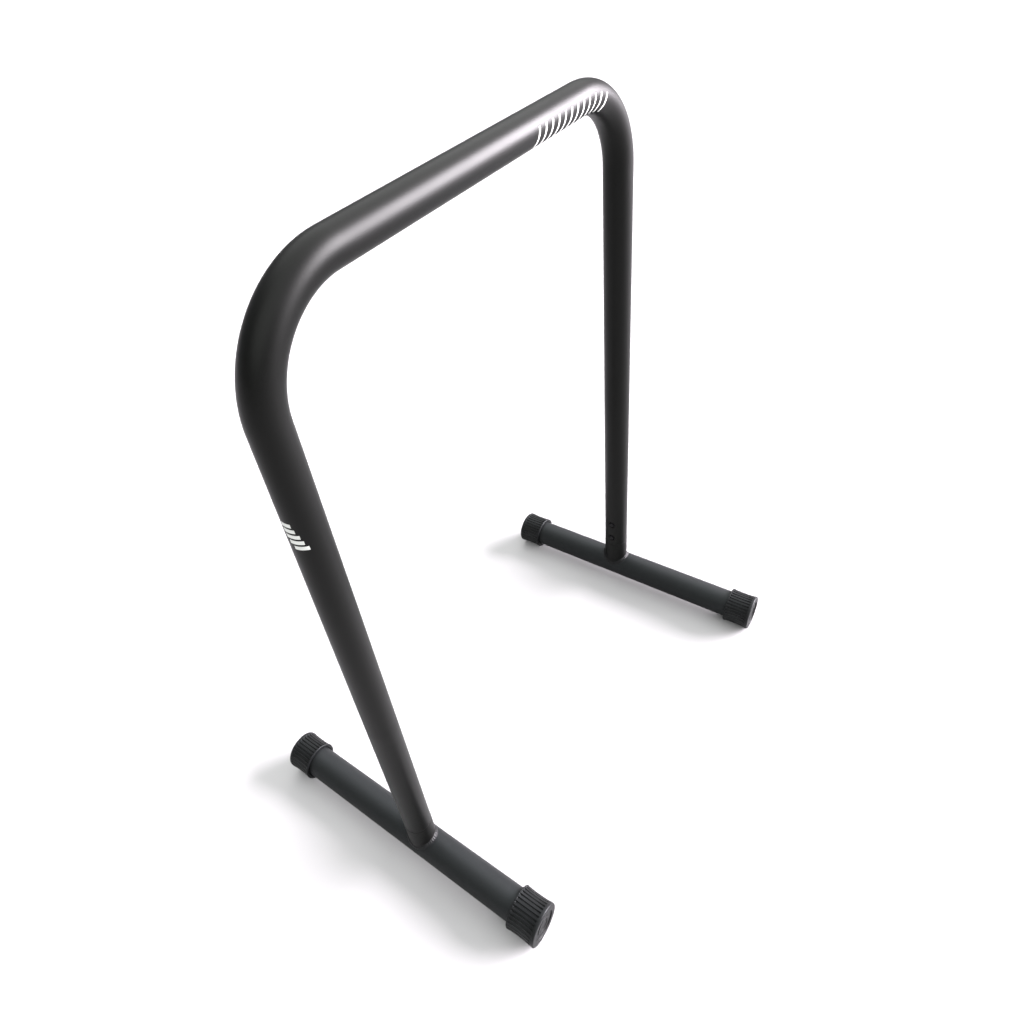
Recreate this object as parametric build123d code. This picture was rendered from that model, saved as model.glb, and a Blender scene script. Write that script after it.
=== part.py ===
"""Free-standing dip bar: a bent tube on two capped feet, held to each foot by two spring snap buttons.

Frame: origin on the floor, under the middle of the bar. +X runs along the bar, from the left leg to the
right leg, +Y points to the back and +Z points up. Lengths are in millimetres.
"""

from build123d import *

import os

# Bent bar
BAR_DIAMETER = 38.0
BAR_WALL = 2.0
LEG_SPACING = 600.0          # between the axes of the two legs
BAR_AXIS_HEIGHT = 857.5
BEND_RADIUS = 102.5          # to the tube's axis
LEG_END_HEIGHT = 89.0        # where the leg meets the collar on the foot
EDGE_CHAMFER = 0.5           # on the leg ends and the collars

# Feet
FOOT_DIAMETER = 45.0
FOOT_WALL = 2.0
FOOT_LONG_REACH = 250.0      # from the leg's axis to the end of the cap, on the long side
FOOT_SHORT_REACH = 194.0

# Post and collar, welded to the foot
POST_DIAMETER = 33.8         # slides into the leg
POST_WALL = 2.0
POST_TOP = 186.0
POST_LEAD_IN = 1.0           # chamfer that guides the leg on to the post
COLLAR_DIAMETER = 38.4
WELD_LEG = 4.0

# End caps
CAP_DIAMETER = 56.6
CAP_LENGTH = 40.0
CAP_END_WALL = 5.0
CAP_RIM = 4.5                # smooth ring at the closed end
CAP_LIP = 3.0                # smooth ring at the open end
CAP_WAIST = 1.0              # how much nearer the axis the ribs are half way along
CAP_EDGE_ROUND = 1.6
CAP_MOUTH_CHAMFER = 1.0
CAP_RECESS_DIAMETER = 40.0
CAP_RECESS_DEPTH = 1.6
CAP_RING_DIAMETER = 25.0     # raised ring on the floor of the recess
CAP_RING_WIDTH = 3.0
CAP_RING_HEIGHT = 0.8
GROOVE_COUNT = 32
GROOVE_WIDTH = 1.8
GROOVE_DEPTH = 2.2           # from the smooth rings
GROOVE_ROUND = 0.5           # in the corners of a groove's floor

# Snap buttons
BUTTON_DIAMETER = 9.0
BUTTON_TIP = 20.0            # from the leg's axis
BUTTON_ROUND = 1.2
BUTTON_HEIGHTS = {"lower": 106.5, "upper": 138.5}
FLANGE_DIAMETER = 12.0
FLANGE_FACE = 13.5           # from the leg's axis, just inside the post's wall
FLANGE_THICKNESS = 1.2
GUIDE_CLEARANCE = 0.075      # button in the post's hole, on the radius
LEG_HOLE_DIAMETER = 12.0

# Spring clips, one behind each button
CLIP_WIDTH = 10.0
CLIP_THICKNESS = 1.0
CLIP_ARM = 15.0              # straight stretch of each arm, beside the button
CLIP_TAIL = 7.0              # how much of it lies on the far side of the button's axis
CLIP_APEX = 46.0             # from the button's axis to the point where the two arms would meet
CLIP_APEX_RADIUS = 4.0
CLIP_ELBOW_RADIUS = 3.0
CLIP_BACK = 13.9             # outer face of the far arm, from the leg's axis

CONTACT_GAP = 0.05           # between faces that press together

FOOT_AXIS_HEIGHT = CAP_DIAMETER / 2
LEG_X = LEG_SPACING / 2
SIDES = {"left": -1, "right": 1}     # the sign of X at each leg


def tube_between(start, end, diameter):
    """A solid round bar from one point to the other."""
    axis = Vector(*end) - Vector(*start)
    return extrude(Plane(origin=start, z_dir=axis) * Circle(diameter / 2), axis.length)


def foot_reach(side, end):
    """How far a foot reaches from its leg. The two feet are alike, turned half round from each other."""
    long_end = {"left": "back", "right": "front"}[side]
    return FOOT_LONG_REACH if end == long_end else FOOT_SHORT_REACH


def button_plane(side, level):
    """A plane on the leg's axis whose normal is the way the button points, towards the other leg."""
    sign = SIDES[side]
    return Plane(origin=(sign * LEG_X, 0, BUTTON_HEIGHTS[level]), x_dir=(0, -sign, 0), z_dir=(-sign, 0, 0))


def bent_bar():
    """The inverted U of tube, with a hole for each button in the inner side of its legs."""
    path = FilletPolyline(
        (-LEG_X, 0, LEG_END_HEIGHT),
        (-LEG_X, 0, BAR_AXIS_HEIGHT),
        (LEG_X, 0, BAR_AXIS_HEIGHT),
        (LEG_X, 0, LEG_END_HEIGHT),
        radius=BEND_RADIUS,
    )
    start = Plane(origin=(-LEG_X, 0, LEG_END_HEIGHT), z_dir=(0, 0, 1))
    bar = sweep(start * Circle(BAR_DIAMETER / 2), path)
    leg_ends = bar.faces().filter_by(Axis.Z).edges()
    bar = chamfer(leg_ends, EDGE_CHAMFER)
    bar -= sweep(start * Circle(BAR_DIAMETER / 2 - BAR_WALL), path)
    for side in SIDES:
        for level in BUTTON_HEIGHTS:
            bar -= extrude(button_plane(side, level) * Circle(LEG_HOLE_DIAMETER / 2), BAR_DIAMETER)
    return bar


def foot_tube(side):
    """The tube along the floor, stopping against the end walls of its two caps."""
    x = SIDES[side] * LEG_X
    front = (x, CAP_END_WALL - foot_reach(side, "front"), FOOT_AXIS_HEIGHT)
    back = (x, foot_reach(side, "back") - CAP_END_WALL, FOOT_AXIS_HEIGHT)
    outside = tube_between(front, back, FOOT_DIAMETER)
    return outside - tube_between(front, back, FOOT_DIAMETER - 2 * FOOT_WALL)


def foot_body(side):
    """The outside of the foot tube as a solid, to cut what stands on it."""
    x = SIDES[side] * LEG_X
    return tube_between((x, -LEG_SPACING, FOOT_AXIS_HEIGHT), (x, LEG_SPACING, FOOT_AXIS_HEIGHT), FOOT_DIAMETER)


def post(side):
    """The inner tube that stands on the foot and goes up inside the leg."""
    x = SIDES[side] * LEG_X
    low = (x, 0, FOOT_AXIS_HEIGHT)
    high = (x, 0, POST_TOP)
    outside = tube_between(low, high, POST_DIAMETER)
    outside = chamfer(outside.edges().sort_by(Axis.Z)[-1], POST_LEAD_IN)
    tube = outside - tube_between(low, high, POST_DIAMETER - 2 * POST_WALL) - foot_body(side)
    for level in BUTTON_HEIGHTS:
        hole = Circle(BUTTON_DIAMETER / 2 + GUIDE_CLEARANCE)
        tube -= extrude(button_plane(side, level) * hole, BAR_DIAMETER)
    return tube


def collar(side):
    """The sleeve round the foot of the post, which the end of the leg sits on."""
    x = SIDES[side] * LEG_X
    low = (x, 0, FOOT_AXIS_HEIGHT)
    high = (x, 0, LEG_END_HEIGHT)
    outside = tube_between(low, high, COLLAR_DIAMETER)
    outside = chamfer(outside.edges().sort_by(Axis.Z)[-1], EDGE_CHAMFER)
    bore = tube_between(low, high, POST_DIAMETER + 2 * CONTACT_GAP)
    return outside - bore - foot_body(side)


def weld_bead(side):
    """The flat-faced fillet weld in the corner between the collar and the foot."""
    x = SIDES[side] * LEG_X
    upright = tube_between((x, 0, FOOT_AXIS_HEIGHT), (x, 0, LEG_END_HEIGHT), COLLAR_DIAMETER)
    foot = foot_body(side)
    corner = new_edges(upright, foot, combined=upright + foot)
    return chamfer(corner, WELD_LEG) - upright - foot


def cap_outside():
    """The outside of a cap before it is ribbed: two smooth rings with a slight waist between them."""
    outer = CAP_DIAMETER / 2
    rib_end = CAP_LENGTH - CAP_RIM
    below = Polyline((outer, CAP_LIP), (outer, 0), (0, 0), (0, CAP_LENGTH), (outer, CAP_LENGTH), (outer, rib_end))
    waist = ThreePointArc((outer, rib_end), (outer - CAP_WAIST, (CAP_LIP + rib_end) / 2), (outer, CAP_LIP))
    cap = revolve(Plane.XZ * make_face([below, waist]), Axis.Z)
    ends = cap.edges().filter_by(GeomType.CIRCLE).group_by(Axis.Z)
    return fillet(ends[0] + ends[-1], CAP_EDGE_ROUND)


def end_cap():
    """A ribbed rubber cap, open end down on XY and closed end up."""
    outer = CAP_DIAMETER / 2
    bore = FOOT_DIAMETER / 2 + CONTACT_GAP
    cap = cap_outside() - extrude(Circle(bore), CAP_LENGTH - CAP_END_WALL)
    mouth = cap.edges().filter_by(GeomType.CIRCLE).filter_by(lambda edge: abs(edge.radius - bore) < CONTACT_GAP)
    cap = chamfer(mouth.sort_by(Axis.Z)[0], CAP_MOUTH_CHAMFER)
    recess_floor = CAP_LENGTH - CAP_RECESS_DEPTH
    ring = Circle(CAP_RING_DIAMETER / 2) - Circle(CAP_RING_DIAMETER / 2 - CAP_RING_WIDTH)
    cap -= Pos(0, 0, recess_floor) * extrude(Circle(CAP_RECESS_DIAMETER / 2), CAP_RECESS_DEPTH)
    cap += Pos(0, 0, recess_floor) * extrude(ring, CAP_RING_HEIGHT)
    groove_length = CAP_LENGTH - CAP_RIM - CAP_LIP
    groove = Box(2 * GROOVE_DEPTH, GROOVE_WIDTH, groove_length)
    groove = Pos(outer, 0, CAP_LIP + groove_length / 2) * groove
    groove = fillet(groove.edges().filter_by(Axis.Z).sort_by(Axis.X)[:2], GROOVE_ROUND)
    return cap - [Rot(Z=360 / GROOVE_COUNT * turn) * groove for turn in range(GROOVE_COUNT)]


def placed_cap(cap, side, end):
    """The cap on one end of one foot."""
    sign = {"front": -1, "back": 1}[end]
    mouth = sign * (foot_reach(side, end) - CAP_LENGTH)
    spot = Plane(origin=(SIDES[side] * LEG_X, mouth, FOOT_AXIS_HEIGHT), x_dir=(0, 0, 1), z_dir=(0, sign, 0))
    return spot * cap


def snap_button():
    """A domed pin with a flange behind it, pointing along +Z from the leg's axis."""
    flange = Pos(0, 0, FLANGE_FACE - FLANGE_THICKNESS) * extrude(Circle(FLANGE_DIAMETER / 2), FLANGE_THICKNESS)
    pin = Pos(0, 0, FLANGE_FACE) * extrude(Circle(BUTTON_DIAMETER / 2), BUTTON_TIP - FLANGE_FACE)
    pin = fillet(pin.edges().sort_by(Axis.Z)[-1], BUTTON_ROUND)
    return flange + pin


def spring_clip():
    """A leaf bent to a V. Its near arm lies behind the button and its far arm against the far wall.

    It is drawn in the button's plane: along the button's axis, and up towards the apex.
    """
    near = FLANGE_FACE - FLANGE_THICKNESS - CONTACT_GAP - CLIP_THICKNESS / 2
    far = -CLIP_BACK + CLIP_THICKNESS / 2
    elbow = CLIP_ARM - CLIP_TAIL
    route = FilletPolyline(
        (near, -CLIP_TAIL),
        (near, elbow),
        ((near + far) / 2, CLIP_APEX),
        (far, elbow),
        (far, -CLIP_TAIL),
        radius=[CLIP_ELBOW_RADIUS, CLIP_APEX_RADIUS, CLIP_ELBOW_RADIUS],
    )
    leaf = trace(route, CLIP_THICKNESS)
    return extrude(leaf, CLIP_WIDTH / 2, both=True)


def placed_clip(clip, side, level):
    """The clip behind one button, its apex pointing away from the other button of that leg."""
    upwards = {"lower": -1, "upper": 1}[level]
    sign = SIDES[side]
    spot = Plane(
        origin=(sign * LEG_X, 0, BUTTON_HEIGHTS[level]),
        x_dir=(-sign, 0, 0),
        z_dir=(0, sign * upwards, 0),
    )
    return spot * clip


def build_nodes():
    """Every piece of the dip bar, by the name of its node."""
    cap = end_cap()
    button = snap_button()
    clip = spring_clip()
    nodes = {"bent_bar": bent_bar()}
    for side in SIDES:
        nodes[f"{side}_foot_tube"] = foot_tube(side)
        nodes[f"{side}_post"] = post(side)
        nodes[f"{side}_collar"] = collar(side)
        nodes[f"{side}_weld_bead"] = weld_bead(side)
        for end in ("front", "back"):
            nodes[f"{side}_{end}_cap"] = placed_cap(cap, side, end)
        for level in BUTTON_HEIGHTS:
            nodes[f"{side}_{level}_button"] = button_plane(side, level) * button
            nodes[f"{side}_{level}_spring_clip"] = placed_clip(clip, side, level)
    return nodes


os.makedirs("parts", exist_ok=True)
for name, shape in build_nodes().items():
    export_step(shape, f"parts/{name}.step")
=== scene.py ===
import math

import bmesh
import bpy
from mathutils import Matrix, Vector


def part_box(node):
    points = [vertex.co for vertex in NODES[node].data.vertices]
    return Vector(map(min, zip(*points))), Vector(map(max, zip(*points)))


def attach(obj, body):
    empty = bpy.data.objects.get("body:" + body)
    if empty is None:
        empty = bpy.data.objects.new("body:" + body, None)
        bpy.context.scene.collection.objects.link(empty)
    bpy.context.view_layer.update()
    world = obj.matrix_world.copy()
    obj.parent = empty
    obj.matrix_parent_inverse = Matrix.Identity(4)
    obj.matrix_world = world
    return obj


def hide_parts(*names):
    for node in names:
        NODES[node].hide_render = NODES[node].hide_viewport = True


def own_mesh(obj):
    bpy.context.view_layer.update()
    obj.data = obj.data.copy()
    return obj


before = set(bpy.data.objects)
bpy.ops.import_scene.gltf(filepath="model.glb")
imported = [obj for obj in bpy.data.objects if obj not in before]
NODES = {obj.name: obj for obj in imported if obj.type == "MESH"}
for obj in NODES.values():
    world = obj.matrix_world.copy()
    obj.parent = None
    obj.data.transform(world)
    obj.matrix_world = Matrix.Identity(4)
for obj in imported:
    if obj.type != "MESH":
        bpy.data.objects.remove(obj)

MM = 0.001
SCENE = bpy.context.scene
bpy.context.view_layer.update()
SIDES = {"left": -1, "right": 1}     # the sign of X at each leg
ENDS = {"front": -1, "back": 1}      # the sign of Y at each end of a foot
LEVELS = ("lower", "upper")
SHARP_EDGE = math.radians(32)        # faces that meet at more than this show a crisp edge
TURNED_SIDES = 112                   # flats round the foot tubes and the collars
FIT_GAP = 0.05 * MM                  # radial gap between pieces that slide together


# ---------------------------------------------------------------- sizes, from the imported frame

def middle(node):
    """The middle of a node's box."""
    low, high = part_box(node)
    return (low + high) / 2


def size(node):
    """The three lengths of a node's box."""
    low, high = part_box(node)
    return high - low


BAR_LOW, BAR_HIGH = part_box("bent_bar")
BAR_RADIUS = size("bent_bar").y / 2
BAR_WALL = 2 * MM
LEG_X = BAR_HIGH.x - BAR_RADIUS
BAR_Z = BAR_HIGH.z - BAR_RADIUS      # height of the bar's axis
LEG_END = BAR_LOW.z
BEND_RADIUS = 102.5 * MM             # of the bar's axis
BUTTON_Z = {level: middle(f"left_{level}_button").z for level in LEVELS}
LEG_HOLE_RADIUS = 6 * MM

FOOT_RADIUS = size("left_foot_tube").x / 2
FOOT_WALL = 2 * MM
FOOT_Z = middle("left_foot_tube").z
POST_RADIUS = size("left_post").y / 2
COLLAR_RADIUS = size("left_collar").y / 2
WELD_LEG = size("left_weld_bead").y / 2 - COLLAR_RADIUS

CAP_RADIUS = size("left_back_cap").x / 2
CAP_LENGTH = size("left_back_cap").y
CAP_END_WALL = 5 * MM

CLIP_THICKNESS = 1 * MM
CLIP_BEND = 3.5 * MM                 # radius of the leaf's bends
CLIP_WIDTH = size("left_upper_spring_clip").y


# ---------------------------------------------------------------- node helpers

def add(tree, kind, inputs=(), **settings):
    """A new node in a tree. inputs maps a socket's name or number to a value or to another node's output."""
    made = tree.nodes.new(kind)
    for key, value in settings.items():
        setattr(made, key, value)
    for key, value in dict(inputs).items():
        if isinstance(value, bpy.types.NodeSocket):
            tree.links.new(value, made.inputs[key])
        else:
            made.inputs[key].default_value = value
    return made


def math_on(tree, operation, *values):
    """The output of a Math node on up to three values or sockets."""
    return add(tree, "ShaderNodeMath", dict(enumerate(values)), operation=operation).outputs[0]


def vector_on(tree, operation, *values):
    """The vector output of a Vector Math node; a SCALE takes its factor as the last value."""
    inputs = dict(enumerate(values))
    if operation == "SCALE":
        inputs = {0: values[0], "Scale": values[1]}
    return add(tree, "ShaderNodeVectorMath", inputs, operation=operation).outputs[0]


def ranged(tree, value, low, high, to_low=0.0, to_high=1.0):
    """A value carried from one range to another and held at the new range's ends."""
    inputs = {"Value": value, "From Min": low, "From Max": high, "To Min": to_low, "To Max": to_high}
    return add(tree, "ShaderNodeMapRange", inputs).outputs[0]


def new_group(name, kind, inputs, outputs):
    """A node group with named sockets: each a name, a socket type and, for an input, a default."""
    group = bpy.data.node_groups.new(name, kind)
    for title, socket, *default in inputs:
        made = group.interface.new_socket(title, in_out="INPUT", socket_type=socket)
        if default:
            made.default_value = default[0]
    for title, socket in outputs:
        group.interface.new_socket(title, in_out="OUTPUT", socket_type=socket)
    return group, add(group, "NodeGroupInput").outputs, add(group, "NodeGroupOutput").inputs


# ---------------------------------------------------------------- effects that materials share

def powder_grain_group():
    """The skin of a powder coat: a soft orange peel with finer grains on it."""
    group, given, result = new_group(
        "powder_grain", "ShaderNodeTree",
        [("Peel Scale", "NodeSocketFloat", 500.0), ("Grain Scale", "NodeSocketFloat", 2200.0),
         ("Grain Share", "NodeSocketFloat", 0.35)],
        [("Height", "NodeSocketFloat"), ("Speck", "NodeSocketFloat")],
    )
    place = add(group, "ShaderNodeTexCoord").outputs["Object"]
    peel = add(group, "ShaderNodeTexNoise",
               {"Vector": place, "Scale": given["Peel Scale"], "Detail": 1.5, "Roughness": 0.45})
    grain = add(group, "ShaderNodeTexVoronoi", {"Vector": place, "Scale": given["Grain Scale"]},
                feature="SMOOTH_F1")
    coarse = math_on(group, "SUBTRACT", 1.0, given["Grain Share"])
    height = math_on(group, "MULTIPLY", peel.outputs["Fac"], coarse)
    fine = math_on(group, "MULTIPLY", grain.outputs["Distance"], given["Grain Share"])
    group.links.new(math_on(group, "ADD", height, fine), result["Height"])
    group.links.new(ranged(group, grain.outputs["Distance"], 0.05, 0.30, 1.0, 0.0), result["Speck"])
    return group


def handling_group():
    """Broad, faint smears that hands and cloths leave, as a mask, and dust that gathers near the floor."""
    group, given, result = new_group(
        "handling", "ShaderNodeTree",
        [("Smear Scale", "NodeSocketFloat", 9.0), ("Dust Height", "NodeSocketFloat", 0.05)],
        [("Smear", "NodeSocketFloat"), ("Dust", "NodeSocketFloat")],
    )
    place = add(group, "ShaderNodeTexCoord").outputs["Object"]
    broad = add(group, "ShaderNodeTexNoise",
                {"Vector": place, "Scale": given["Smear Scale"], "Detail": 3.0, "Roughness": 0.55,
                 "Distortion": 0.6})
    group.links.new(ranged(group, broad.outputs["Fac"], 0.42, 0.68), result["Smear"])
    height = add(group, "ShaderNodeSeparateXYZ", {0: place}).outputs["Z"]
    low = ranged(group, height, 0.0, given["Dust Height"], 1.0, 0.0)
    facing = add(group, "ShaderNodeSeparateXYZ", {0: add(group, "ShaderNodeNewGeometry").outputs["Normal"]})
    upward = ranged(group, facing.outputs["Z"], -0.1, 0.9)
    motes = add(group, "ShaderNodeTexNoise", {"Vector": place, "Scale": 1400.0, "Detail": 2.0})
    patchy = ranged(group, motes.outputs["Fac"], 0.45, 0.72)
    settled = math_on(group, "MULTIPLY", math_on(group, "MULTIPLY", low, upward), patchy)
    group.links.new(settled, result["Dust"])
    return group


GRAIN = powder_grain_group()
HANDLING = handling_group()


# ---------------------------------------------------------------- materials

def new_material(name, slot, **shader):
    """A material for one of the record's slots, its node tree and its Principled shader, with the
    shader's plain sockets set."""
    material = bpy.data.materials.new(name)
    material["slot"] = slot
    material.use_nodes = True
    tree = material.node_tree
    principled = tree.nodes["Principled BSDF"]
    for title, value in shader.items():
        principled.inputs[title.replace("_", " ").title().replace("Ior", "IOR")].default_value = value
    return material, tree, principled


def placed_group(tree, group, **values):
    """A shared effect in a material, with the material's own values."""
    node = add(tree, "ShaderNodeGroup", node_tree=group)
    for title, value in values.items():
        node.inputs[title.replace("_", " ").title()].default_value = value
    return node.outputs


def mixed(tree, factor, first, second):
    """One colour turning into another by a factor."""
    node = add(tree, "ShaderNodeMix", data_type="RGBA")
    for socket, value in (("Factor_Float", factor), ("A_Color", first), ("B_Color", second)):
        target = next(entry for entry in node.inputs if entry.identifier == socket)
        if isinstance(value, bpy.types.NodeSocket):
            tree.links.new(value, target)
        else:
            target.default_value = value
    return next(entry for entry in node.outputs if entry.identifier == "Result_Color")


def bumped(tree, principled, height, strength, distance):
    """Raise the surface by a height that varies over it."""
    bump = add(tree, "ShaderNodeBump", {"Height": height, "Strength": strength, "Distance": distance})
    tree.links.new(bump.outputs["Normal"], principled.inputs["Normal"])


def bar_coat():
    """Satin charcoal powder coat of the bent bar."""
    material, tree, principled = new_material(
        "bar_powder_coat", "bar_coat", specular_ior_level=0.12, specular_tint=(0.97, 1.0, 0.96, 1.0))
    grain = placed_group(tree, GRAIN, peel_scale=420.0, grain_scale=1900.0, grain_share=0.3)
    hands = placed_group(tree, HANDLING, smear_scale=7.0, dust_height=0.02)
    coat = mixed(tree, grain["Speck"], (0.0014, 0.0015, 0.0014, 1), (0.0036, 0.0038, 0.0035, 1))
    tree.links.new(mixed(tree, hands["Dust"], coat, (0.12, 0.115, 0.105, 1)), principled.inputs["Base Color"])
    tree.links.new(ranged(tree, hands["Smear"], 0.0, 1.0, 0.40, 0.46), principled.inputs["Roughness"])
    bumped(tree, principled, grain["Height"], 0.22, 0.00012)
    return material


def foot_coat():
    """Matte, finely textured black powder coat of the feet and collars."""
    material, tree, principled = new_material(
        "foot_powder_coat", "foot_coat", specular_ior_level=0.21, specular_tint=(0.90, 0.98, 1.0, 1.0))
    grain = placed_group(tree, GRAIN, peel_scale=700.0, grain_scale=1500.0, grain_share=0.6)
    hands = placed_group(tree, HANDLING, smear_scale=12.0, dust_height=0.055)
    coat = mixed(tree, grain["Speck"], (0.0035, 0.0040, 0.0042, 1), (0.0075, 0.0083, 0.0086, 1))
    dusty = math_on(tree, "MULTIPLY", hands["Dust"], 0.30)
    tree.links.new(mixed(tree, dusty, coat, (0.13, 0.125, 0.115, 1)), principled.inputs["Base Color"])
    tree.links.new(ranged(tree, hands["Smear"], 0.0, 1.0, 0.52, 0.60), principled.inputs["Roughness"])
    bumped(tree, principled, grain["Height"], 0.45, 0.00016)
    return material


def weld_coat():
    """The same black coat where it lies thick over the ripples of the weld."""
    material, tree, principled = new_material("weld_powder_coat", "foot_coat", specular_ior_level=0.18)
    grain = placed_group(tree, GRAIN, peel_scale=900.0, grain_scale=2600.0, grain_share=0.4)
    coat = mixed(tree, grain["Speck"], (0.0030, 0.0034, 0.0036, 1), (0.008, 0.0085, 0.009, 1))
    tree.links.new(coat, principled.inputs["Base Color"])
    tree.links.new(ranged(tree, grain["Height"], 0.2, 0.7, 0.44, 0.60), principled.inputs["Roughness"])
    bumped(tree, principled, grain["Height"], 0.5, 0.0002)
    return material


def cap_rubber():
    """Matte moulded rubber with a fine spark-eroded skin."""
    material, tree, principled = new_material(
        "moulded_rubber", "cap_rubber", specular_ior_level=0.17, specular_tint=(0.92, 0.98, 1.0, 1.0))
    grain = placed_group(tree, GRAIN, peel_scale=1300.0, grain_scale=3600.0, grain_share=0.5)
    hands = placed_group(tree, HANDLING, smear_scale=26.0, dust_height=0.058)
    body = mixed(tree, hands["Smear"], (0.0014, 0.0016, 0.0017, 1), (0.0030, 0.0033, 0.0035, 1))
    dusty = math_on(tree, "MULTIPLY", hands["Dust"], 0.42)
    tree.links.new(mixed(tree, dusty, body, (0.15, 0.145, 0.135, 1)), principled.inputs["Base Color"])
    tree.links.new(ranged(tree, grain["Height"], 0.2, 0.7, 0.42, 0.56), principled.inputs["Roughness"])
    bumped(tree, principled, grain["Height"], 0.35, 0.00012)
    return material


def button_steel():
    """Dull blackened steel, with a painted highlight: lighter on the faces that point along the pin, such as
    its end.
    """
    material, tree, principled = new_material("blackened_steel", "button_steel", metallic=1.0)
    grain = placed_group(tree, GRAIN, peel_scale=1500.0, grain_scale=4200.0, grain_share=0.4)
    across = add(tree, "ShaderNodeNewGeometry").outputs["Normal"]
    along_x = math_on(tree, "ABSOLUTE", add(tree, "ShaderNodeSeparateXYZ", {0: across}).outputs["X"])
    # painted highlight: faces that point along the pin are coloured lighter, as if lit
    painted_end_highlight = ranged(tree, along_x, 0.80, 0.99)
    steel = mixed(tree, painted_end_highlight, (0.010, 0.010, 0.011, 1), (0.022, 0.022, 0.023, 1))
    tree.links.new(steel, principled.inputs["Base Color"])
    tree.links.new(ranged(tree, grain["Height"], 0.2, 0.7, 0.55, 0.70), principled.inputs["Roughness"])
    bumped(tree, principled, grain["Height"], 0.3, 0.00008)
    return material


def spring_steel():
    """Tempered strip with fine rolling lines along its length."""
    material, tree, principled = new_material("spring_strip", "spring_steel", metallic=1.0)
    place = add(tree, "ShaderNodeTexCoord").outputs["Object"]
    drawn = add(tree, "ShaderNodeMapping", {"Vector": place, "Scale": (900.0, 4200.0, 60.0)}).outputs[0]
    lines = add(tree, "ShaderNodeTexNoise", {"Vector": drawn, "Scale": 1.0, "Detail": 3.0}).outputs["Fac"]
    strip = mixed(tree, lines, (0.20, 0.21, 0.24, 1), (0.40, 0.40, 0.41, 1))
    tree.links.new(strip, principled.inputs["Base Color"])
    tree.links.new(ranged(tree, lines, 0.3, 0.7, 0.24, 0.42), principled.inputs["Roughness"])
    bumped(tree, principled, lines, 0.15, 0.00005)
    return material


def post_coat():
    """Thin black primer, scuffed lengthways where the leg slides over it."""
    material, tree, principled = new_material("post_primer", "post_coat", specular_ior_level=0.2)
    place = add(tree, "ShaderNodeTexCoord").outputs["Object"]
    drawn = add(tree, "ShaderNodeMapping", {"Vector": place, "Scale": (1600.0, 1600.0, 30.0)}).outputs[0]
    scuffs = add(tree, "ShaderNodeTexNoise", {"Vector": drawn, "Scale": 1.0, "Detail": 3.0}).outputs["Fac"]
    worn = ranged(tree, scuffs, 0.60, 0.74)
    primer = mixed(tree, worn, (0.0040, 0.0040, 0.0042, 1), (0.030, 0.030, 0.031, 1))
    tree.links.new(primer, principled.inputs["Base Color"])
    tree.links.new(ranged(tree, scuffs, 0.3, 0.7, 0.62, 0.46), principled.inputs["Roughness"])
    bumped(tree, principled, scuffs, 0.2, 0.00004)
    return material


def white_print():
    """Matte white screen ink, a little uneven and thin at its grain."""
    material, tree, principled = new_material("white_ink", "white_print", specular_ior_level=0.4)
    grain = placed_group(tree, GRAIN, peel_scale=900.0, grain_scale=2600.0, grain_share=0.5)
    ink = mixed(tree, grain["Speck"], (0.52, 0.54, 0.51, 1), (0.40, 0.42, 0.40, 1))
    tree.links.new(ink, principled.inputs["Base Color"])
    tree.links.new(ranged(tree, grain["Height"], 0.2, 0.7, 0.5, 0.65), principled.inputs["Roughness"])
    bumped(tree, principled, grain["Height"], 0.2, 0.00006)
    return material


def studio_floor():
    """Pale seamless floor."""
    material, tree, principled = new_material("studio_floor", "", specular_ior_level=0.2)
    place = add(tree, "ShaderNodeTexCoord").outputs["Object"]
    clouds = add(tree, "ShaderNodeTexNoise", {"Vector": place, "Scale": 1.5, "Detail": 2.0}).outputs["Fac"]
    paper = mixed(tree, clouds, (0.31, 0.31, 0.31, 1), (0.32, 0.32, 0.32, 1))
    tree.links.new(paper, principled.inputs["Base Color"])
    principled.inputs["Roughness"].default_value = 0.8
    return material


BAR_COAT = bar_coat()
FOOT_COAT = foot_coat()
WELD_COAT = weld_coat()
CAP_RUBBER = cap_rubber()
BUTTON_STEEL = button_steel()
SPRING_STEEL = spring_steel()
POST_COAT = post_coat()
WHITE_PRINT = white_print()
STUDIO_FLOOR = studio_floor()


# ---------------------------------------------------------------- mesh helpers

def new_piece(name, mesh, material, body="frame", stands_for=()):
    """An object at the origin that rides on a body and has one material."""
    piece = bpy.data.objects.new(name, mesh)
    SCENE.collection.objects.link(piece)
    mesh.materials.clear()
    mesh.materials.append(material)
    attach(piece, body)
    if stands_for:
        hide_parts(*stands_for)
    return piece


def crease(mesh, limit=SHARP_EDGE):
    """Shade the faces smooth, and keep the edges that turn more than the limit crisp."""
    shell = bmesh.new()
    shell.from_mesh(mesh)
    for face in shell.faces:
        face.smooth = True
    for edge in shell.edges:
        edge.smooth = edge.calc_face_angle(0.0) < limit
    shell.to_mesh(mesh)
    shell.free()
    return mesh


def finished(mesh, *modifiers):
    """A mesh with modifiers applied: each is a type and its settings."""
    holder = bpy.data.objects.new("finishing", mesh)
    SCENE.collection.objects.link(holder)
    for kind, settings in modifiers:
        modifier = holder.modifiers.new(kind.lower(), kind)
        for key, value in settings.items():
            setattr(modifier, key, value)
    graph = bpy.context.evaluated_depsgraph_get()
    result = bpy.data.meshes.new_from_object(holder.evaluated_get(graph), depsgraph=graph)
    bpy.data.objects.remove(holder)
    return result


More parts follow.
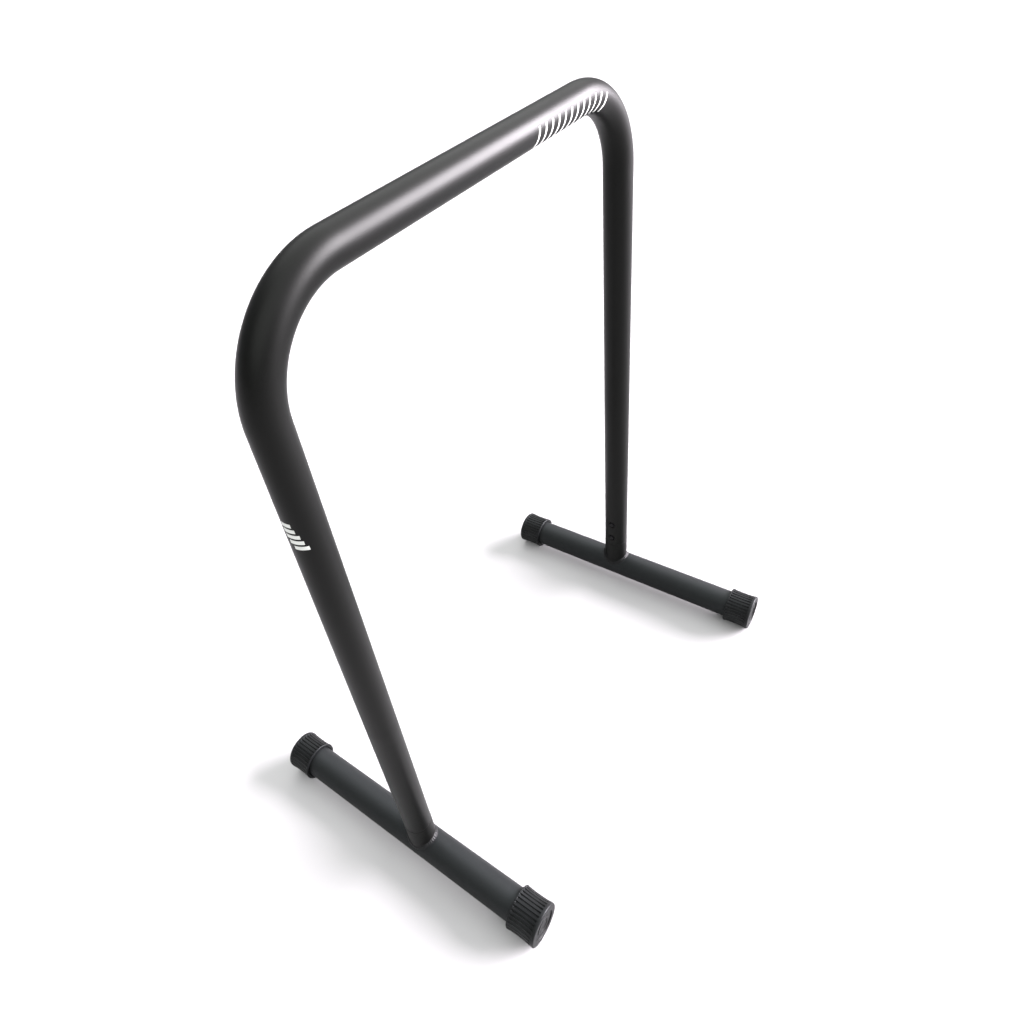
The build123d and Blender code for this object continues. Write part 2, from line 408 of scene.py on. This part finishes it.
def grown(tree, points, edges=(), faces=(), **sizes):
    """A plain mesh made by a Geometry Nodes tree from a start shape, with the tree's inputs set by name."""
    start = bpy.data.meshes.new("start")
    start.from_pydata(points, edges, faces)
    holder = bpy.data.objects.new("growing", start)
    SCENE.collection.objects.link(holder)
    modifier = holder.modifiers.new("grow", "NODES")
    modifier.node_group = tree
    for item in tree.interface.items_tree:
        if item.in_out == "INPUT" and item.name in sizes:
            modifier[item.identifier] = sizes[item.name]
    graph = bpy.context.evaluated_depsgraph_get()
    result = bpy.data.meshes.new_from_object(holder.evaluated_get(graph), depsgraph=graph)
    holder.modifiers.remove(modifier)
    bpy.data.objects.remove(holder)
    bpy.data.meshes.remove(start)
    return result


def turned(outline, segments):
    """A shape turned about Z from (radius, height) points. A closed outline makes a ring; one that
    starts and ends on the axis makes a solid."""
    closed = outline[0][0] > 0
    shell = bmesh.new()
    rings = []
    for radius, height in outline:
        if radius == 0:
            rings.append([shell.verts.new((0, 0, height))])
            continue
        turns = [2 * math.pi * step / segments for step in range(segments)]
        rings.append([shell.verts.new((radius * math.cos(t), radius * math.sin(t), height)) for t in turns])
    pairs = list(zip(rings, rings[1:])) + ([(rings[-1], rings[0])] if closed else [])
    for lower, upper in pairs:
        for step in range(segments):
            after = (step + 1) % segments
            corners = [lower[step % len(lower)], lower[after % len(lower)],
                       upper[after % len(upper)], upper[step % len(upper)]]
            shell.faces.new(list(dict.fromkeys(corners)))
    bmesh.ops.recalc_face_normals(shell, faces=shell.faces)
    mesh = bpy.data.meshes.new("turned")
    shell.to_mesh(mesh)
    shell.free()
    return mesh


def rounded(corner_in, corner, corner_out, radius, steps=4):
    """Points that round a corner of an outline between its two neighbours."""
    corner = Vector(corner)
    first = (Vector(corner_in) - corner).normalized()
    second = (Vector(corner_out) - corner).normalized()
    half = first.angle(second) / 2
    reach = radius / math.tan(half)
    centre = corner + (first + second).normalized() * radius / math.sin(half)
    start = corner + first * reach - centre
    turn = math.pi - 2 * half
    sign = 1 if first.x * second.y - first.y * second.x < 0 else -1
    angles = [sign * turn * step / steps for step in range(steps + 1)]
    return [tuple(centre + Matrix.Rotation(angle, 2) @ start) for angle in angles]


def rounded_outline(corners, radii, closed=True):
    """An outline whose corners are rounded by their own radii; zero leaves a corner sharp."""
    points = []
    for number, (corner, radius) in enumerate(zip(corners, radii)):
        if radius == 0:
            points.append(tuple(corner))
            continue
        before, after = corners[number - 1], corners[(number + 1) % len(corners)]
        points += rounded(before, corner, after, radius)
    return points


# ---------------------------------------------------------------- bent bar

def tube_tree():
    """A skin of tube swept along a path whose corners are bent to one radius."""
    tree, given, result = new_group(
        "bent_tube", "GeometryNodeTree",
        [("Path", "NodeSocketGeometry"), ("Bend Radius", "NodeSocketFloat"),
         ("Tube Radius", "NodeSocketFloat"), ("Sides", "NodeSocketInt"), ("Bend Steps", "NodeSocketInt"),
         ("Zone Steps", "NodeSocketInt"), ("Material", "NodeSocketMaterial")],
        [("Mesh", "NodeSocketGeometry")],
    )
    path = add(tree, "GeometryNodeMeshToCurve", {"Mesh": given["Path"]}).outputs[0]
    bent = add(tree, "GeometryNodeFilletCurve",
               {"Curve": path, "Count": given["Bend Steps"], "Radius": given["Bend Radius"]}, mode="POLY")
    number = add(tree, "GeometryNodeInputIndex").outputs[0]
    size_of = add(tree, "GeometryNodeAttributeDomainSize", {0: bent.outputs[0]}, component="CURVE")
    last_run = math_on(tree, "SUBTRACT", size_of.outputs["Point Count"], 2)
    first = add(tree, "FunctionNodeCompare", {0: number, 1: 0.0}, data_type="FLOAT", operation="EQUAL")
    last = add(tree, "FunctionNodeCompare", {0: number, 1: last_run}, data_type="FLOAT", operation="EQUAL")
    in_zone = add(tree, "FunctionNodeBooleanMath", {0: first.outputs[0], 1: last.outputs[0]}, operation="OR")
    cuts = math_on(tree, "MULTIPLY", in_zone.outputs[0], given["Zone Steps"])
    dense = add(tree, "GeometryNodeSubdivideCurve", {"Curve": bent.outputs[0], "Cuts": cuts}).outputs[0]
    section = add(tree, "GeometryNodeCurvePrimitiveCircle",
                  {"Resolution": given["Sides"], "Radius": given["Tube Radius"]}).outputs[0]
    skin = add(tree, "GeometryNodeCurveToMesh", {"Curve": dense, "Profile Curve": section}).outputs[0]
    sewn = add(tree, "GeometryNodeMergeByDistance", {0: skin, "Distance": 0.05 * MM}).outputs[0]
    plain = add(tree, "GeometryNodeRealizeInstances", {0: sewn}).outputs[0]
    coated = add(tree, "GeometryNodeSetMaterial", {0: plain, "Material": given["Material"]}).outputs[0]
    tree.links.new(coated, result["Mesh"])
    return tree


def punch(mesh, holes, radius):
    """Open round holes in the fine grid of faces on the legs' inner sides. Each hole is given as the
    sign of its leg and its height."""
    shell = bmesh.new()
    shell.from_mesh(mesh)

    def offset(point, sign, height):
        inwards = LEG_X - sign * point.x
        if not 0 < inwards < 1.1 * BAR_RADIUS:
            return Vector((1.0, 1.0))
        return Vector((BAR_RADIUS * math.atan2(point.y, inwards), point.z - height))

    for sign, height in holes:
        inside = [f for f in shell.faces if offset(f.calc_center_median(), sign, height).length < radius]
        bmesh.ops.delete(shell, geom=inside, context="FACES")
        for vert in shell.verts:
            flat = offset(vert.co, sign, height)
            if vert.is_boundary and flat.length < 1.5 * radius:
                flat *= radius / flat.length
                turn = flat.x / BAR_RADIUS
                vert.co = (sign * (LEG_X - BAR_RADIUS * math.cos(turn)), BAR_RADIUS * math.sin(turn),
                           height + flat.y)
    shell.to_mesh(mesh)
    shell.free()
    return mesh


def bent_bar():
    """The bar and its two legs: one bent tube with its wall, its button holes and softened ends."""
    zone_top = BUTTON_Z["upper"] + 4 * LEG_HOLE_RADIUS      # the fine grid for the holes ends here
    heights = (LEG_END, zone_top, BAR_Z)
    corners = [(-LEG_X, 0, z) for z in heights] + [(LEG_X, 0, z) for z in reversed(heights)]
    sides = 96
    step = 2 * math.pi * BAR_RADIUS / sides
    mesh = grown(
        tube_tree(), corners, edges=[(n, n + 1) for n in range(len(corners) - 1)],
        **{"Bend Radius": BEND_RADIUS, "Tube Radius": BAR_RADIUS, "Sides": sides, "Bend Steps": 28,
           "Zone Steps": round((zone_top - LEG_END) / step), "Material": BAR_COAT},
    )
    punch(mesh, [(sign, z) for sign in SIDES.values() for z in BUTTON_Z.values()], LEG_HOLE_RADIUS)
    wall = {"thickness": BAR_WALL, "offset": -1.0, "use_rim": True}
    ends = {"width": 0.3 * MM, "segments": 2, "limit_method": "ANGLE", "angle_limit": math.radians(50)}
    mesh = crease(finished(mesh, ("SOLIDIFY", wall), ("BEVEL", ends)))
    return new_piece("bent_bar_skin", mesh, BAR_COAT, stands_for=["bent_bar"])


# ---------------------------------------------------------------- feet

def foot_tube(side):
    """The tube along the floor, with its wall and its sawn ends inside the caps."""
    low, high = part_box(f"{side}_foot_tube")
    inner = FOOT_RADIUS - FOOT_WALL
    wall = [(FOOT_RADIUS, low.y), (FOOT_RADIUS, high.y), (inner, high.y), (inner, low.y)]
    mesh = crease(turned(wall, TURNED_SIDES))
    along_y = Matrix.Rotation(-math.pi / 2, 4, "X")
    mesh.transform(Matrix.Translation((SIDES[side] * LEG_X, 0, FOOT_Z)) @ along_y)
    return new_piece(f"{side}_foot_tube_skin", mesh, FOOT_COAT, stands_for=[f"{side}_foot_tube"])


def saddle(across):
    """Height of the foot tube's top at a distance across it."""
    return FOOT_Z + math.sqrt(FOOT_RADIUS ** 2 - across ** 2)


def collar(side):
    """The sleeve under the leg's end: rounded at the top, cut to the foot's curve at the bottom."""
    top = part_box(f"{side}_collar")[1].z
    bore = POST_RADIUS + FIT_GAP
    corners = [(COLLAR_RADIUS, FOOT_Z), (COLLAR_RADIUS, top), (bore, top), (bore, FOOT_Z)]
    outer_round, inner_round = 0.6 * MM, 0.4 * MM
    mesh = turned(rounded_outline(corners, [0, outer_round, inner_round, 0]), TURNED_SIDES)
    for vert in mesh.vertices:
        if vert.co.z < FOOT_Z + MM:      # the bottom ring drops onto the foot
            vert.co.z = saddle(vert.co.x)
    mesh.transform(Matrix.Translation((SIDES[side] * LEG_X, 0, 0)))
    return new_piece(f"{side}_collar_skin", crease(mesh), BAR_COAT, stands_for=[f"{side}_collar"])


def weld_bead(side):
    """The rippled fillet of weld round the bottom of the collar."""
    around, across = 336, 14
    ripples = 42                     # one for each pulse of the torch
    sink = 0.25 * MM                 # how far the toes run into the tubes
    shell = bmesh.new()
    rows = []
    for step in range(around):
        turn = 2 * math.pi * step / around
        cosine, sine = math.cos(turn), math.sin(turn)
        wander = 1 + 0.07 * math.sin(5 * turn + 0.6) + 0.05 * math.sin(11 * turn + 2.1)
        leg = WELD_LEG * 0.94 * wander
        root = Vector((COLLAR_RADIUS * cosine, COLLAR_RADIUS * sine, saddle(COLLAR_RADIUS * cosine)))
        top = Vector(((COLLAR_RADIUS - sink) * cosine, (COLLAR_RADIUS - sink) * sine, root.z + leg))
        start = math.asin(root.x / FOOT_RADIUS)
        lean = start + leg * cosine / FOOT_RADIUS
        toe = Vector(((FOOT_RADIUS - sink) * math.sin(lean), root.y + leg * sine,
                      FOOT_Z + (FOOT_RADIUS - sink) * math.cos(lean)))
        belly = (top + toe) / 2
        outwards = (belly - root).normalized()
        row = []
        for number in range(across + 1):
            share = number / across
            straight = top.lerp(toe, share)
            swell = 4 * share * (1 - share)
            lag = 0.55 * swell           # the ripples bow back in the middle of the bead
            wave = math.cos(ripples * turn + 2.4 * lag)
            height = 0.55 * MM * swell + 0.17 * MM * wave * swell ** 0.5
            row.append(shell.verts.new(straight + outwards * height))
        row.append(shell.verts.new(root - outwards * 0.6 * MM))
        rows.append(row)
    for row, following in zip(rows, rows[1:] + rows[:1]):
        for number in range(len(row)):
            after = (number + 1) % len(row)
            shell.faces.new((row[number], following[number], following[after], row[after]))
    bmesh.ops.recalc_face_normals(shell, faces=shell.faces)
    mesh = bpy.data.meshes.new("weld_bead")
    shell.to_mesh(mesh)
    shell.free()
    mesh.transform(Matrix.Translation((SIDES[side] * LEG_X, 0, 0)))
    return new_piece(f"{side}_weld_ripples", crease(mesh, math.radians(60)), WELD_COAT,
                     stands_for=[f"{side}_weld_bead"])


# ---------------------------------------------------------------- end caps

RIB_COUNT = 32
RIB_WAIST = 1.0 * MM                 # how much the ribs pull in half way along
RIB_ZONE = (1.5 * MM, CAP_LENGTH - 4.5 * MM)
GROOVE_FLOOR = CAP_RADIUS - 2.1 * MM
GROOVE_SHARE = 0.33                  # of the pitch, at half depth
GROOVE_EASE = 1.1 * MM               # length of the slope at each end of a groove
GROOVE_EDGE = math.radians(48)       # the walls of a groove shade smoothly below this


def eased(value):
    """A share held between 0 and 1 that starts and ends softly."""
    held = min(1.0, max(0.0, value))
    return held * held * (3 - 2 * held)


def depth_in_groove(share_of_pitch, height):
    """How deep a place lies, from 0 on a rib to 1 on a groove's floor: round the cap, as a share of the
    pitch, and along it."""
    wall = 0.14                      # of the pitch, for each side of a groove
    from_groove = abs(share_of_pitch - 0.5)
    sideways = eased((GROOVE_SHARE / 2 + wall / 2 - from_groove) / wall)
    low, high = RIB_ZONE
    lengthways = eased((height - low) / GROOVE_EASE) * eased((high - height) / GROOVE_EASE)
    return sideways * lengthways


def cap_outline():
    """The cap's section as (radius, height) points, from the middle of its closed face, round the outside
    and the mouth, to the middle of the inside."""
    recess, recess_depth = 20 * MM, 1.6 * MM
    ring_inside, ring_outside, ring_height = 9.5 * MM, 12.5 * MM, 0.8 * MM
    small_disc = 2 * MM                  # keeps the faces at the middle short
    floor = CAP_LENGTH - recess_depth
    ring_top = floor + ring_height
    inside = CAP_LENGTH - CAP_END_WALL
    bore = FOOT_RADIUS + FIT_GAP
    lead_in = 1.8 * MM
    low, high = RIB_ZONE
    face = rounded_outline(
        [(0, floor), (small_disc, floor), (ring_inside, floor), (ring_inside, ring_top),
         (ring_outside, ring_top), (ring_outside, floor), (recess, floor), (recess, CAP_LENGTH),
         (CAP_RADIUS, CAP_LENGTH), (CAP_RADIUS, high)],
        [radius * MM for radius in (0, 0, 0.25, 0.3, 0.3, 0.25, 0.5, 0.6, 1.6, 0)],
    )
    side = []
    steps = 26
    for step in range(1, steps):
        share = step / steps
        closer_at_ends = share - 0.07 * math.sin(2 * math.pi * share)
        waist = RIB_WAIST * math.sin(math.pi * share)
        side.append((CAP_RADIUS - waist, high + (low - high) * closer_at_ends))
    mouth = rounded_outline(
        [(CAP_RADIUS, low), (CAP_RADIUS, 0), (bore + lead_in, 0), (bore, lead_in), (bore, inside),
         (small_disc, inside), (0, inside)],
        [radius * MM for radius in (0, 1.0, 0.4, 0.5, 0.4, 0, 0)],
    )
    return face + side + mouth


def ring_tree():
    """One slice of a shape repeated all the way round the Z axis and sewn together."""
    tree, given, result = new_group(
        "slices_round_axis", "GeometryNodeTree",
        [("Slice", "NodeSocketGeometry"), ("Count", "NodeSocketInt"), ("Material", "NodeSocketMaterial")],
        [("Mesh", "NodeSocketGeometry")],
    )
    line = add(tree, "GeometryNodeMeshLine", {"Count": given["Count"], "Offset": (0, 0, 0)}).outputs[0]
    number = add(tree, "GeometryNodeInputIndex").outputs[0]
    pitch = math_on(tree, "DIVIDE", 2 * math.pi, given["Count"])
    turn = add(tree, "ShaderNodeCombineXYZ", {"Z": math_on(tree, "MULTIPLY", number, pitch)}).outputs[0]
    spin = add(tree, "FunctionNodeEulerToRotation", {0: turn}).outputs[0]
    placed = add(tree, "GeometryNodeInstanceOnPoints",
                 {"Points": line, "Instance": given["Slice"], "Rotation": spin}).outputs[0]
    plain = add(tree, "GeometryNodeRealizeInstances", {0: placed}).outputs[0]
    sewn = add(tree, "GeometryNodeMergeByDistance", {0: plain, "Distance": 0.01 * MM}).outputs[0]
    coated = add(tree, "GeometryNodeSetMaterial", {0: sewn, "Material": given["Material"]}).outputs[0]
    tree.links.new(coated, result["Mesh"])
    return tree


def cap_slice():
    """One rib's slice of the cap: its points and faces, its groove in the middle of the slice."""
    outline = cap_outline()
    columns = 12
    points, faces = [], []
    for radius, height in outline:
        on_ribs = radius > GROOVE_FLOOR and RIB_ZONE[0] < height < RIB_ZONE[1]
        for column in range(columns + 1):
            share = column / columns
            turn = 2 * math.pi * share / RIB_COUNT
            reach = radius + (GROOVE_FLOOR - radius) * depth_in_groove(share, height) if on_ribs else radius
            points.append((reach * math.cos(turn), reach * math.sin(turn), height))
    for row in range(len(outline) - 1):
        for column in range(columns):
            corner = row * (columns + 1) + column
            faces.append((corner, corner + columns + 1, corner + columns + 2, corner + 1))
    return points, faces


def end_caps():
    """The four ribbed caps, each turned to close its end of a foot."""
    points, faces = cap_slice()
    whole = grown(ring_tree(), points, faces=faces, Count=RIB_COUNT, Material=CAP_RUBBER)
    shell = bmesh.new()
    shell.from_mesh(whole)
    bmesh.ops.dissolve_degenerate(shell, dist=0.001 * MM, edges=shell.edges)
    bmesh.ops.recalc_face_normals(shell, faces=shell.faces)
    shell.to_mesh(whole)
    shell.free()
    crease(whole, GROOVE_EDGE)
    for side, side_sign in SIDES.items():
        for end, end_sign in ENDS.items():
            low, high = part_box(f"{side}_{end}_cap")
            mouth = low.y if end_sign > 0 else high.y
            mesh = whole.copy()
            turn = Matrix.Rotation(-end_sign * math.pi / 2, 4, "X")
            mesh.transform(Matrix.Translation((side_sign * LEG_X, mouth, FOOT_Z)) @ turn)
            new_piece(f"{side}_{end}_ribbed_cap", mesh, CAP_RUBBER, stands_for=[f"{side}_{end}_cap"])


# ---------------------------------------------------------------- buttons and spring clips

def snap_button(side, level):
    """A turned pin with a flange behind it and a slightly domed end."""
    node = f"{side}_{level}_button"
    sign = SIDES[side]
    near, far = sorted(abs(x - sign * LEG_X) for x in (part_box(node)[0].x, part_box(node)[1].x))
    flange = size(node).y / 2
    flange_front = near + 1.2 * MM
    pin, tip_round = 4.5 * MM, 1.2 * MM
    crown = 0.3 * MM                 # how far the end's rim lies below its middle
    centre = 2 * MM                  # radius of the flat middle of both ends
    outline = [(0, near)] + rounded_outline(
        [(centre, near), (flange, near), (flange, flange_front), (pin, flange_front), (pin, far),
         (centre, far)],
        [0, 0.3 * MM, 0.3 * MM, 0.25 * MM, tip_round, 0],
    ) + [(0, far)]
    domed = [(radius, height - crown * (radius / pin) ** 2 if height > far - 1.1 * tip_round else height)
             for radius, height in outline]
    mesh = crease(turned(domed, 64))
    turn = Matrix.Rotation(-sign * math.pi / 2, 4, "Y")
    mesh.transform(Matrix.Translation((sign * LEG_X, 0, BUTTON_Z[level])) @ turn)
    return new_piece(f"{side}_{level}_domed_button", mesh, BUTTON_STEEL, body=node, stands_for=[node])


def leaf_tree():
    """A flat strip swept along a bent path."""
    tree, given, result = new_group(
        "bent_leaf", "GeometryNodeTree",
        [("Path", "NodeSocketGeometry"), ("Bend Radius", "NodeSocketFloat"), ("Width", "NodeSocketFloat"),
         ("Thickness", "NodeSocketFloat"), ("Material", "NodeSocketMaterial")],
        [("Mesh", "NodeSocketGeometry")],
    )
    path = add(tree, "GeometryNodeMeshToCurve", {"Mesh": given["Path"]}).outputs[0]
    bent = add(tree, "GeometryNodeFilletCurve",
               {"Curve": path, "Count": 10, "Radius": given["Bend Radius"]}, mode="POLY").outputs[0]
    section = add(tree, "GeometryNodeCurvePrimitiveQuadrilateral",
                  {"Width": given["Thickness"], "Height": given["Width"]}).outputs[0]
    soft = add(tree, "GeometryNodeFilletCurve", {"Curve": section, "Count": 3, "Radius": 0.3 * MM},
               mode="POLY").outputs[0]
    strip = add(tree, "GeometryNodeCurveToMesh",
                {"Curve": bent, "Profile Curve": soft, "Fill Caps": True}).outputs[0]
    plain = add(tree, "GeometryNodeRealizeInstances", {0: strip}).outputs[0]
    coated = add(tree, "GeometryNodeSetMaterial", {0: plain, "Material": given["Material"]}).outputs[0]
    tree.links.new(coated, result["Mesh"])
    return tree


LEAF = leaf_tree()


def spring_clip(side, level):
    """The V-shaped leaf behind a button: its far arm lies against the post's wall, its near arm behind the
    button."""
    node = f"{side}_{level}_spring_clip"
    sign = SIDES[side]
    upwards = {"lower": -1, "upper": 1}[level]
    low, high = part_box(node)
    near = (low.x if sign > 0 else high.x) + sign * CLIP_THICKNESS / 2
    far = (high.x if sign > 0 else low.x) - sign * CLIP_THICKNESS / 2
    tail = low.z if upwards > 0 else high.z
    above_tip = 1.2 * MM             # the arms' lines meet beyond the rounded tip
    apex = (high.z if upwards > 0 else low.z) + upwards * above_tip
    straight_arm = 15 * MM
    elbow = tail + upwards * straight_arm
    route = [(near, 0, tail), (near, 0, elbow), ((near + far) / 2, 0, apex), (far, 0, elbow), (far, 0, tail)]
    mesh = grown(LEAF, route, edges=[(n, n + 1) for n in range(len(route) - 1)],
                 **{"Bend Radius": CLIP_BEND, "Width": CLIP_WIDTH, "Thickness": CLIP_THICKNESS,
                    "Material": SPRING_STEEL})
    piece = new_piece(f"{side}_{level}_leaf", crease(mesh), SPRING_STEEL, stands_for=[node])
    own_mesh(piece)
    return piece


# ---------------------------------------------------------------- printed marks

def print_tree():
    """Flat ink laid on the bent bar: x of the start shape runs along the bar's path, y round the tube."""
    tree, given, result = new_group(
        "ink_on_bar", "GeometryNodeTree",
        [("Mark", "NodeSocketGeometry"), ("Path", "NodeSocketObject"), ("Bend Radius", "NodeSocketFloat"),
         ("Radius", "NodeSocketFloat"), ("Count", "NodeSocketInt"), ("Pitch", "NodeSocketFloat"),
         ("Material", "NodeSocketMaterial")],
        [("Mesh", "NodeSocketGeometry")],
    )
    step = add(tree, "ShaderNodeCombineXYZ", {"X": given["Pitch"]}).outputs[0]
    row = add(tree, "GeometryNodeMeshLine", {"Count": given["Count"], "Offset": step}).outputs[0]
    copies = add(tree, "GeometryNodeInstanceOnPoints", {"Points": row, "Instance": given["Mark"]}).outputs[0]
    flat = add(tree, "GeometryNodeRealizeInstances", {0: copies}).outputs[0]
    source = add(tree, "GeometryNodeObjectInfo", {"Object": given["Path"]}).outputs["Geometry"]
    path = add(tree, "GeometryNodeMeshToCurve", {"Mesh": source}).outputs[0]
    bent = add(tree, "GeometryNodeFilletCurve",
               {"Curve": path, "Count": 96, "Radius": given["Bend Radius"]}, mode="POLY").outputs[0]
    place = add(tree, "ShaderNodeSeparateXYZ", {0: add(tree, "GeometryNodeInputPosition").outputs[0]}).outputs
    sample = add(tree, "GeometryNodeSampleCurve", {"Curves": bent, "Length": place["X"]}, mode="LENGTH")
    outwards = vector_on(tree, "CROSS_PRODUCT", sample.outputs["Tangent"], (0, 1, 0))
    turn = math_on(tree, "DIVIDE", place["Y"], given["Radius"])
    front = vector_on(tree, "SCALE", (0, -1, 0), math_on(tree, "COSINE", turn))
    top = vector_on(tree, "SCALE", outwards, math_on(tree, "SINE", turn))
    reach = vector_on(tree, "SCALE", vector_on(tree, "ADD", front, top), given["Radius"])
    spot = vector_on(tree, "ADD", sample.outputs["Position"], reach)
    wrapped = add(tree, "GeometryNodeSetPosition", {"Geometry": flat, "Position": spot}).outputs[0]
    coated = add(tree, "GeometryNodeSetMaterial", {0: wrapped, "Material": given["Material"]}).outputs[0]
    tree.links.new(coated, result["Mesh"])
    return tree


def stroke(start, end, width, along=14, across=2):
    """A straight ink stroke between two flat points, as a fine grid of points and faces. Its two ends are
    cut parallel to the tube's axis."""
    points, faces = [], []
    for row in range(along + 1):
        middle_of_row = Vector(start).lerp(Vector(end), row / along)
        for column in range(across + 1):
            points.append((middle_of_row.x + width * (column / across - 0.5), middle_of_row.y, 0))
    for row in range(along):
        for column in range(across):
            corner = row * (across + 1) + column
            faces.append((corner, corner + 1, corner + across + 2, corner + across + 1))
    return points, faces


def joined(strokes):
    """Several strokes as one list of points and one of faces."""
    points, faces = [], []
    for more_points, more_faces in strokes:
        faces += [tuple(corner + len(points) for corner in face) for face in more_faces]
        points += more_points
    return points, faces


def printed(name, strokes, count, pitch):
    """Ink strokes laid on the bar, repeated along it, with their real thickness."""
    corners = [(-LEG_X, 0, LEG_END), (-LEG_X, 0, BAR_Z), (LEG_X, 0, BAR_Z), (LEG_X, 0, LEG_END)]
    line = bpy.data.meshes.new("bar_line")
    line.from_pydata(corners, [(0, 1), (1, 2), (2, 3)], [])
    holder = bpy.data.objects.new("bar_line", line)
    SCENE.collection.objects.link(holder)
    points, faces = joined(strokes)
    ink = 0.07 * MM                  # half of the ink's thickness
    mesh = grown(print_tree(), points, faces=faces, Path=holder, Count=count, Pitch=pitch,
                 **{"Bend Radius": BEND_RADIUS, "Radius": BAR_RADIUS + ink, "Material": WHITE_PRINT})
    bpy.data.objects.remove(holder)
    mesh = finished(mesh, ("SOLIDIFY", {"thickness": 2 * ink, "offset": 0.0}))
    shell = bmesh.new()
    shell.from_mesh(mesh)
    bmesh.ops.recalc_face_normals(shell, faces=shell.faces)
    shell.to_mesh(mesh)
    shell.free()
    return new_piece(name, crease(mesh), WHITE_PRINT)


def printed_marks():
    """A row of slanted dashes at the right end of the bar, and five stepped dashes on the left leg."""
    leg_run = BAR_Z - BEND_RADIUS - LEG_END                  # path length up a leg to the bend
    bend_run = math.pi / 2 * BEND_RADIUS
    bar_middle = leg_run + bend_run + LEG_X - BEND_RADIUS    # path length to the middle of the bar
    dash_low, dash_high, slant = -17 * MM, 5 * MM, 4.5 * MM
    dash_width, dash_pitch, dash_count = 2.7 * MM, 13 * MM, 12
    start = bar_middle + 88 * MM
    dash = stroke((start - slant / 2, dash_low), (start + slant / 2, dash_high), dash_width)
    printed("bar_dashes", [dash], dash_count, dash_pitch)

    step_width = 4.2 * MM
    strokes = []
    # each step's height above the floor, and where it starts and ends round the leg, in millimetres
    for height, low, high in ((666, 24, 35), (659.5, 22, 34), (653, 19, 33), (646.5, 17, 31), (640, 14, 28)):
        along = height * MM - LEG_END
        strokes.append(stroke((along, low * MM), (along, high * MM), step_width))
    printed("leg_steps", strokes, 1, 0.0)


# ---------------------------------------------------------------- the studio

SKY_AT_HORIZON, SKY_OVERHEAD = 0.30, 0.8     # brightness of the room round the object
SKY_SEEN = 1.03                              # and of what shows behind the floor


def look_at(place, aim):
    """The rotation that points an object's -Z from a place to an aim."""
    return (Vector(aim) - Vector(place)).to_track_quat("-Z", "Y").to_euler()


def camera():
    """The camera, above and outside the left leg, looking across the bar."""
    lens = bpy.data.cameras.new("camera")
    lens.lens = 24.761
    lens.shift_x, lens.shift_y = 0.0732, -0.0505
    stand = bpy.data.objects.new("camera", lens)
    stand.location = (-0.5443, -0.4064, 1.0537)
    stand.rotation_euler = [math.radians(angle) for angle in (51.095, 8.856, -53.030)]
    SCENE.collection.objects.link(stand)
    SCENE.camera = stand


def far_softbox(name, azimuth, elevation, spread, strength, colour=(1, 1, 1)):
    """A broad soft light from far off, so it falls evenly along the bar: azimuth from +X towards +Y."""
    box = bpy.data.lights.new(name, "SUN")
    box.angle = math.radians(spread)
    box.energy = strength
    box.color = colour
    stand = bpy.data.objects.new(name, box)
    turn, rise = math.radians(azimuth), math.radians(elevation)
    away = 2.0                       # only the direction counts for a light of this kind
    stand.location = (away * math.cos(turn), away * math.sin(turn), BAR_Z + away * math.tan(rise))
    stand.rotation_euler = look_at(stand.location, (0, 0, BAR_Z))
    SCENE.collection.objects.link(stand)


def studio():
    """Pale floor, pale surroundings and three broad soft lights."""
    world = bpy.data.worlds.new("studio")
    world.use_nodes = True
    tree = world.node_tree
    up = add(tree, "ShaderNodeSeparateXYZ", {0: add(tree, "ShaderNodeTexCoord").outputs["Generated"]})
    around = ranged(tree, up.outputs["Z"], 0.0, 1.0, SKY_AT_HORIZON, SKY_OVERHEAD)
    seen = add(tree, "ShaderNodeLightPath").outputs["Is Camera Ray"]
    strength = math_on(tree, "ADD", math_on(tree, "MULTIPLY", around, math_on(tree, "SUBTRACT", 1.0, seen)),
                       math_on(tree, "MULTIPLY", SKY_SEEN, seen))
    tree.links.new(strength, tree.nodes["Background"].inputs["Strength"])
    tree.nodes["Background"].inputs["Color"].default_value = (0.98, 0.99, 1.0, 1)
    SCENE.world = world
    SCENE.view_settings.view_transform = "Standard"
    mesh = bpy.data.meshes.new("floor")
    reach = 400                      # metres, so that its edge never shows
    mesh.from_pydata([(-reach, -reach, 0), (reach, -reach, 0), (reach, reach, 0), (-reach, reach, 0)], [],
                     [(0, 1, 2, 3)])
    mesh.materials.append(STUDIO_FLOOR)
    floor = bpy.data.objects.new("floor", mesh)
    SCENE.collection.objects.link(floor)
    far_softbox("key", -43, 14, 42, 32, (1.0, 0.93, 1.0))
    far_softbox("overhead", 20, 62, 76, 3.7)
    far_softbox("side", 215, 48, 64, 2.2)


# ---------------------------------------------------------------- assembly

bent_bar()
for side in SIDES:
    foot_tube(side)
    collar(side)
    weld_bead(side)
    NODES[f"{side}_post"].data.materials.clear()
    NODES[f"{side}_post"].data.materials.append(POST_COAT)
    for level in LEVELS:
        snap_button(side, level)
        spring_clip(side, level)
end_caps()
printed_marks()
camera()
studio()
